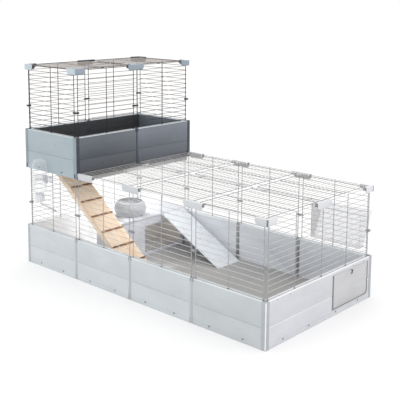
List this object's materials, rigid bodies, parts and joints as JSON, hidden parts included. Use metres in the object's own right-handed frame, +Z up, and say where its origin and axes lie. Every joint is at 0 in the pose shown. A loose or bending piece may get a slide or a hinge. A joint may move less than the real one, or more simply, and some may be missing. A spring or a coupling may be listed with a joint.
{
  "type": "small animal cage",
  "caption": "Modular small animal cage with solid base panels, wire walls and hinged wire roof, a raised upper unit, ramps, a house, bowl, bottle and hay feeder.",
  "frame": {"origin": "on the ground at the middle of the lower cage's footprint", "axes": "+X along the long side, away from the upper unit; -Y is the long front side; +Z up"},
  "size_m": [1.4248, 0.8805, 0.9389],
  "materials": {
    "panel_grey": "fine satin moulding",
    "post_grey": "fine satin moulding",
    "panel_dark": "fine satin moulding",
    "post_dark": "fine satin moulding",
    "wire_silver": "satin coated wire",
    "wire_dark": "satin coated wire",
    "clip_light": "satin",
    "clip_blue_grey": "satin",
    "tie_dark": "satin",
    "screw_steel": "turned steel",
    "floor_grey": "matt sheet",
    "floor_dark": "matt sheet",
    "pine": "planed, unvarnished",
    "brown_wood": "planed, unvarnished",
    "tie_light": "smooth",
    "rod_steel": "drawn steel",
    "house_plastic": "smooth moulding",
    "house_ramp_plastic": "smooth ribbed moulding",
    "clear_plastic": "clear moulding",
    "bowl_plastic": "tinted clear moulding",
    "feeder_plastic": "milky clear moulding",
    "cap_plastic": "satin",
    "spout_steel": "polished tube"
  },
  "bodies": {
    "cage": {"base_screws": "screw_steel", "bottle_holder": "cap_plastic", "door_frame_panel": "panel_grey", "door_hinge_pins": "rod_steel", "house_roof": "house_plastic", "house_walls": "house_plastic", "lower_base_front_1": "panel_grey", "lower_base_front_2": "panel_grey", "lower_base_front_3": "panel_grey", "lower_base_front_4": "panel_grey", "lower_base_left_1": "panel_grey", "lower_base_left_2": "panel_grey", "lower_base_rear_1": "panel_grey", "lower_base_rear_2": "panel_grey", "lower_base_rear_3": "panel_grey", "lower_base_rear_4": "panel_grey", "lower_corner_clips": "clip_light", "lower_end_wires": "wire_silver", "lower_floor_sheets": "floor_grey", "lower_front_wires": "wire_silver", "lower_joint_clips": "clip_light", "lower_posts": "post_grey", "lower_rear_wires": "wire_silver", "lower_roof_rear": "wire_silver", "lower_wire_ties": "tie_light", "ramp_pivot_rod": "rod_steel", "roof_hinge_ties": "tie_light", "upper_base_front_1": "panel_dark", "upper_base_left_1": "panel_dark", "upper_base_left_2": "panel_dark", "upper_base_rear_1": "panel_dark", "upper_base_right_1": "panel_dark", "upper_base_right_2": "panel_dark", "upper_corner_clips": "clip_blue_grey", "upper_cross_rail": "post_grey", "upper_end_wires": "wire_dark", "upper_floor_front": "floor_dark", "upper_floor_rear": "floor_dark", "upper_joint_clips": "clip_blue_grey", "upper_left_wires": "wire_dark", "upper_posts": "post_dark", "upper_right_wires": "wire_dark", "upper_roof_rear": "wire_dark", "upper_wire_ties": "tie_dark"},
    "door": {"door_panel": "panel_grey"},
    "latch": {"door_latch": "tie_dark"},
    "lower_flap_1": {"lower_roof_flap_1": "wire_silver"},
    "lower_flap_2": {"lower_roof_flap_2": "wire_silver"},
    "lower_flap_3": {"lower_roof_flap_3": "wire_silver"},
    "upper_flap": {"upper_roof_flap": "wire_dark"},
    "wooden_ramp": {"ramp_deck": "pine", "ramp_stringers": "pine", "ramp_rungs": "brown_wood"},
    "house_ramp": {"house_ramp": "house_ramp_plastic"},
    "bowl": {"bowl": "bowl_plastic"},
    "bottle": {"bottle_body": "clear_plastic", "bottle_cap": "cap_plastic", "bottle_spout": "spout_steel", "spout_ball": "spout_steel"},
    "hay_feeder": {"hay_feeder": "feeder_plastic"}
  },
  "joints": [
    {"name": "door_hinge", "type": "hinge", "parent": "cage", "child": "door", "pos_m": [0.7078, 0.075, 0.096], "axis": [0, 0, -1], "range_deg": [0, 110]},
    {"name": "latch_turn", "type": "hinge", "parent": "door", "child": "latch", "pos_m": [0.7078, 0.205, 0.1506], "axis": [1, 0, 0], "range_deg": [0, 90]},
    {"name": "lower_flap_1_hinge", "type": "hinge", "parent": "cage", "child": "lower_flap_1", "pos_m": [-0.175, -0.017, 0.476], "axis": [-1, 0, 0], "range_deg": [0, 110]},
    {"name": "lower_flap_2_hinge", "type": "hinge", "parent": "cage", "child": "lower_flap_2", "pos_m": [0.175, -0.017, 0.476], "axis": [-1, 0, 0], "range_deg": [0, 110]},
    {"name": "lower_flap_3_hinge", "type": "hinge", "parent": "cage", "child": "lower_flap_3", "pos_m": [0.525, -0.017, 0.476], "axis": [-1, 0, 0], "range_deg": [0, 110]},
    {"name": "upper_flap_hinge", "type": "hinge", "parent": "cage", "child": "upper_flap", "pos_m": [-0.525, -0.017, 0.933], "axis": [-1, 0, 0], "range_deg": [0, 110]},
    {"name": "wooden_ramp_hinge", "type": "hinge", "parent": "cage", "child": "wooden_ramp", "pos_m": [-0.578, -0.225, 0.445], "axis": [0, -1, 0], "range_deg": [0, 25]},
    {"name": "house_ramp_hinge", "type": "hinge", "parent": "cage", "child": "house_ramp", "pos_m": [-0.335, 0.24, 0.194], "axis": [0, -1, 0], "range_deg": [0, 27]},
    {"name": "bowl_lift", "type": "slide", "parent": "cage", "child": "bowl", "axis": [0, 0, 1], "range_m": [0, 0.1]},
    {"name": "bottle_pull", "type": "slide", "parent": "cage", "child": "bottle", "axis": [0, -0.8572, 0.515], "range_m": [0, 0.08]},
    {"name": "feeder_lift", "type": "slide", "parent": "cage", "child": "hay_feeder", "axis": [0, 0, 1], "range_m": [0, 0.012]}
  ]
}
